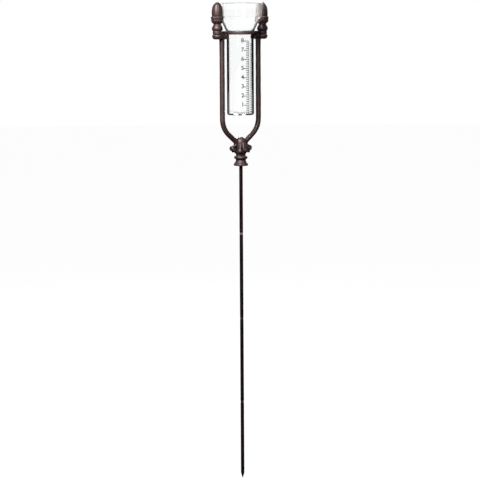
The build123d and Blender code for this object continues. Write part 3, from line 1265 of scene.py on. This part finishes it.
@dataclass
class ScalePrint:
    """The tube's two printed scales: an inch row with numerals, and a finer row beside it."""

    radius: float = 30.0
    count: int = 8
    divisions: int = 5
    inch_line: float = 267.6
    inch_short: float = 12.0
    inch_long: float = 23.0
    fine_line: float = 275.0
    fine_short: float = 9.0
    fine_long: float = 15.0
    mark_height: float = 0.7
    stroke: float = 1.65
    fine_stroke: float = 1.3
    line_width: float = 1.9
    arc_step: float = 2.5
    numeral_size: float = 12.8
    numeral_angle: float = 239.5
    numeral_rise: float = 1.2
    small_size: float = 4.6
    small_angle: float = 292.5
    small_drop: float = 0.1
    boldness: float = 0.022
    lift: float = 0.02
    ink: float = 0.14

    def strip(self, angle: float, sweep: float, height: float, stroke: float) -> Shape:
        """Lay one straight stroke of print round the tube.

        Args:
            angle: Where it starts.
            sweep: How far it runs.
            height: Where its middle is on the tube.
            stroke: How tall it is.

        Returns:
            The thin raised stroke.
        """
        shape = Shape()
        steps = max(1, round(sweep / self.arc_step))
        inner, outer = self.radius + self.lift, self.radius + self.ink
        for step in range(steps + 1):
            turn = math.radians(angle + sweep * step / steps)
            for reach, rise in ((inner, -0.5), (outer, -0.5), (outer, 0.5), (inner, 0.5)):
                place = (reach * math.cos(turn), reach * math.sin(turn), height + rise * stroke)
                shape.vertices.append(Vector(place))
        for step in range(steps):
            start = 4 * step
            for side in range(4):
                following = (side + 1) % 4
                shape.faces.append((start + side, start + following, start + 4 + following, start + 4 + side))
        shape.faces.append((3, 2, 1, 0))
        shape.faces.append(tuple(4 * steps + side for side in range(4)))
        return shape

    def numeral(self, text: str, size: float, angle: float, height: float) -> Shape:
        """Set one numeral on the tube.

        Args:
            text: What it says.
            size: Its height of type.
            angle: Where its middle is round the tube.
            height: Where its middle is on the tube.

        Returns:
            The thin raised print.
        """
        curve = bpy.data.curves.new("numeral", "FONT")
        curve.body = text
        curve.size = size
        curve.extrude = self.ink / 2
        curve.offset = size * self.boldness
        curve.align_x = "CENTER"
        curve.align_y = "CENTER"
        mesh = settled(placed("numeral", curve))
        bpy.data.curves.remove(curve)
        shape = Shape()
        for vertex in mesh.vertices:
            turn = math.radians(angle) + vertex.co.x / self.radius
            reach = self.radius + self.ink / 2 + self.lift + vertex.co.z
            place = (reach * math.cos(turn), reach * math.sin(turn), height + vertex.co.y)
            shape.vertices.append(Vector(place))
        shape.faces = [tuple(face.vertices) for face in mesh.polygons]
        bpy.data.meshes.remove(mesh)
        return shape

    def print_piece(self, name: str, shape: Shape, *nodes: str) -> None:
        """Make one flat-shaded piece of print and dress it.

        Args:
            name: The piece's name.
            shape: Its strokes.
            nodes: The CAD nodes it stands for.
        """
        piece = shape.mesh_object(name)
        piece.data.shade_flat()
        finished(piece, Body.GLASS, Slot.PRINT, FiredPrint(), *nodes)

    def build(self) -> None:
        """Print both rows of marks and their numerals."""
        low, high = span("inch_scale")
        base = low.z + self.mark_height / 2
        pitch = (high.z - low.z - self.mark_height) / self.count
        inch, fine, large, small = Shape(), Shape(), Shape(), Shape()
        for step in range(self.count * self.divisions + 1):
            height = base + step * pitch / self.divisions
            length = self.inch_short if step % self.divisions else self.inch_long
            inch += self.strip(self.inch_line - length, length, height, self.stroke)
            if 0 < step < self.count * self.divisions:
                length = self.fine_short if step % self.divisions else self.fine_long
                height -= pitch / self.divisions / 2
                fine += self.strip(self.fine_line, length, height, self.fine_stroke)
        upright = self.count * pitch
        inch += self.strip(self.inch_line, self.line_width, base + upright / 2, upright + self.mark_height)
        for step in range(1, self.count + 1):
            height = base + step * pitch + self.numeral_rise
            large += self.numeral(str(step), self.numeral_size, self.numeral_angle, height)
        for step in range(1, self.count):
            height = base + (step - self.small_drop) * pitch
            small += self.numeral(str(step * self.divisions), self.small_size, self.small_angle, height)
        self.print_piece("inch_marks", inch, "inch_scale")
        self.print_piece("fine_marks", fine, "metric_scale")
        self.print_piece("inch_numerals", large)
        self.print_piece("fine_numerals", small)


@dataclass
class Stake:
    """The ground stake: four rods from the frame, and the screws that join them."""

    rods: tuple[str, ...] = ("stake_point", "stake_lower", "stake_middle", "stake_upper")
    studs: tuple[str, ...] = ("head_stud", "finial_stud_left", "finial_stud_right")
    thread_radius: float = 2.5
    thread_depth: float = 0.28
    thread_pitch: float = 0.8
    end_bevel: float = 0.5
    lead: float = 0.4
    undercut: float = 0.2
    collar_radius: float = 3.7
    collar_height: float = 5.0
    collar_band: float = 1.9
    groove_depth: float = 0.35

    def collar(self, foot: float, middle: float, head: float) -> Outline:
        """The collar's outline, with a shallow groove round its middle.

        Args:
            foot: The height of its lower face.
            middle: The height of its groove.
            head: The height of its upper face.

        Returns:
            The outline's points.
        """
        corners = [
            (self.thread_radius, foot),
            (self.collar_radius, foot, 0.4),
            (self.collar_radius, foot + self.collar_band, 0.2),
            (self.collar_radius - self.groove_depth, middle, 0.3),
            (self.collar_radius, head - self.collar_band, 0.2),
            (self.collar_radius, head, 0.4),
            (self.thread_radius, head),
        ]
        return rounded(corners, 4)

    def thread(self, start: float, end: float) -> Outline:
        """The thread's crests and roots from one height up to another.

        Args:
            start: Where the thread begins.
            end: Where it ends at the latest.

        Returns:
            The outline's points.
        """
        outline: Outline = []
        for step in range(2 * int((end - start) / self.thread_pitch)):
            cut = self.thread_depth * (step % 2)
            outline.append((self.thread_radius - cut, start + step * self.thread_pitch / 2))
        return outline

    def screw(self, node: str, body: Body, finish: Finish) -> None:
        """Turn one double-ended screw with a grooved collar.

        Args:
            node: The CAD node it stands for.
            body: The body it rides on.
            finish: Its finish.
        """
        low, high = span(node)
        middle = (low.z + high.z) / 2
        foot, head = middle - self.collar_height / 2, middle + self.collar_height / 2
        end_radius = self.thread_radius - self.end_bevel
        outline: Outline = [(0.0, low.z), (end_radius, low.z)]
        outline += self.thread(low.z + self.lead, foot - self.undercut)
        outline += self.collar(foot, middle, head)
        outline += self.thread(head + self.undercut, high.z - self.lead)
        outline += [(end_radius, high.z), (0.0, high.z)]
        finished(lathe(outline, 64).mesh_object(node + "_screw"), body, Slot.STEEL, finish, node)

    def build(self) -> None:
        """Paint the rods and make the three screws."""
        for rod in self.rods:
            dress_node(rod, StakePaint())
        self.screw("coupler_lower", Body.TIP, TarnishedSteel())
        self.screw("coupler_middle", Body.LOW, TarnishedSteel())
        self.screw("coupler_upper", Body.MIDDLE, BareSteel())
        for stud in self.studs:
            dress_node(stud, BareSteel())


# ---------------------------------------------------------------------- studio


@dataclass
class Lamp:
    """One soft box, turned round the object from the camera's side. Lengths are in metres, power in watts."""

    name: str
    turn: float
    height: float
    reach: float
    width: float
    tall: float
    power: float
    aim: float = 0.95


@dataclass
class Studio:
    """Camera, soft light, floor and surroundings. Lengths here are in metres, but for lens and sensor."""

    azimuth: float = -40.0
    distance: float = 4.0
    eye_height: float = 1.04
    pitch: float = 7.0117
    roll: float = -0.34
    sidestep: float = -0.0030
    lens: float = 134.05
    sensor: float = 36.0
    far_end: float = 60.0
    floor_radius: float = 14.0
    dome_low: float = 0.02
    dome_high: float = 0.16
    dome_step: Range = (0.05, 0.9)
    clear_white: float = 1.13
    lamps: tuple[Lamp, ...] = (
        Lamp("key_box", -20.0, 2.35, 2.0, 0.85, 0.9, 190.0),
        Lamp("fill_box", 22.0, 1.5, 2.8, 0.3, 1.0, 15.0),
        Lamp("back_box_left", -168.0, 2.1, 2.4, 0.5, 1.3, 60.0),
        Lamp("back_box_right", 165.0, 1.7, 2.4, 0.5, 1.3, 30.0),
        Lamp("low_box", -8.0, 0.45, 3.0, 0.6, 0.6, 5.0, 0.5),
    )

    def direction(self, turn: float) -> Vector:
        """The level direction from the object at an angle from the camera's side."""
        angle = math.radians(self.azimuth + turn)
        return Vector((math.sin(angle), -math.cos(angle), 0.0))

    def camera(self) -> None:
        """Set the long lens at the height of the vessel's rim, tilted down to take in the stake."""
        data = bpy.data.cameras.new("studio_camera")
        data.lens = self.lens
        data.sensor_width = self.sensor
        data.clip_end = self.far_end
        made = placed("studio_camera", data)
        turn = Matrix.Rotation(math.radians(self.azimuth), 4, "Z")
        tilt = Matrix.Rotation(math.radians(90.0 - self.pitch), 4, "X")
        lean = Matrix.Rotation(math.radians(self.roll), 4, "Z")
        place = self.direction(0.0) * self.distance + Vector((0.0, 0.0, self.eye_height))
        place += turn.to_3x3() @ Vector((self.sidestep, 0.0, 0.0))
        made.matrix_world = Matrix.Translation(place) @ turn @ tilt @ lean
        bpy.context.scene.camera = made

    def light(self) -> None:
        """Stand the soft boxes round the object."""
        for lamp in self.lamps:
            data = bpy.data.lights.new(lamp.name, "AREA")
            data.shape = "RECTANGLE"
            data.size = lamp.width
            data.size_y = lamp.tall
            data.energy = lamp.power
            made = placed(lamp.name, data)
            made.location = self.direction(lamp.turn) * lamp.reach + Vector((0.0, 0.0, lamp.height))
            aim = Vector((0.0, 0.0, lamp.aim)) - made.location
            made.rotation_mode = "QUATERNION"
            made.rotation_quaternion = aim.to_track_quat("-Z", "Y")

    def surroundings(self) -> None:
        """White where it is seen directly or through clear glass, and a dim dome for reflections."""
        world = bpy.data.worlds.new("studio")
        world.use_nodes = True
        graph = ShaderGraph(world.node_tree)
        height = graph.rise(graph.node("ShaderNodeTexCoord", output="Generated"))
        dome = self.dome_low + height.above(*self.dome_step) * (self.dome_high - self.dome_low)
        outputs = ("Is Camera Ray", "Is Transmission Ray", "Glossy Depth", "Diffuse Depth")
        seen, through, glossy, diffuse = (graph.node("ShaderNodeLightPath", output=name) for name in outputs)
        clear = through * (1.0 - (glossy + diffuse).above(0.0, 0.5))
        strength = dome + seen * (1.0 - dome) + clear * (self.clear_white - dome)
        sky = graph.node("ShaderNodeBackground", None, {"Color": (1.0, 1.0, 1.0, 1.0), "Strength": strength})
        graph.node("ShaderNodeOutputWorld", None, {"Surface": sky})
        bpy.context.scene.world = world

    def floor(self) -> None:
        """Lay the plain pale floor that the stake's tip stands on."""
        made = lathe([(0.0, 0.0), (self.floor_radius / MM, 0.0)], 96).mesh_object("studio_floor")
        painted(made, PaleFloor())
        made.visible_diffuse = False
        made.visible_glossy = False

    def build(self) -> None:
        """Set up the whole studio."""
        self.camera()
        self.light()
        self.surroundings()
        self.floor()
        bpy.context.scene.view_settings.view_transform = "Standard"
        log.info("studio: %d soft boxes and a floor", len(self.lamps))


def main() -> None:
    """Build the studio and each sub-assembly in order."""
    logging.basicConfig(level=logging.INFO, format="%(message)s")
    Studio().build()
    ForkCasting().build()
    HolderRing().build()
    Finial("finial_left", Body.FINIAL_LEFT, spin=9.0).build()
    Finial("finial_right", Body.FINIAL_RIGHT, spin=31.0).build()
    GlassVessel().build()
    ScalePrint().build()
    Stake().build()


if __name__ == "__main__":
    main()
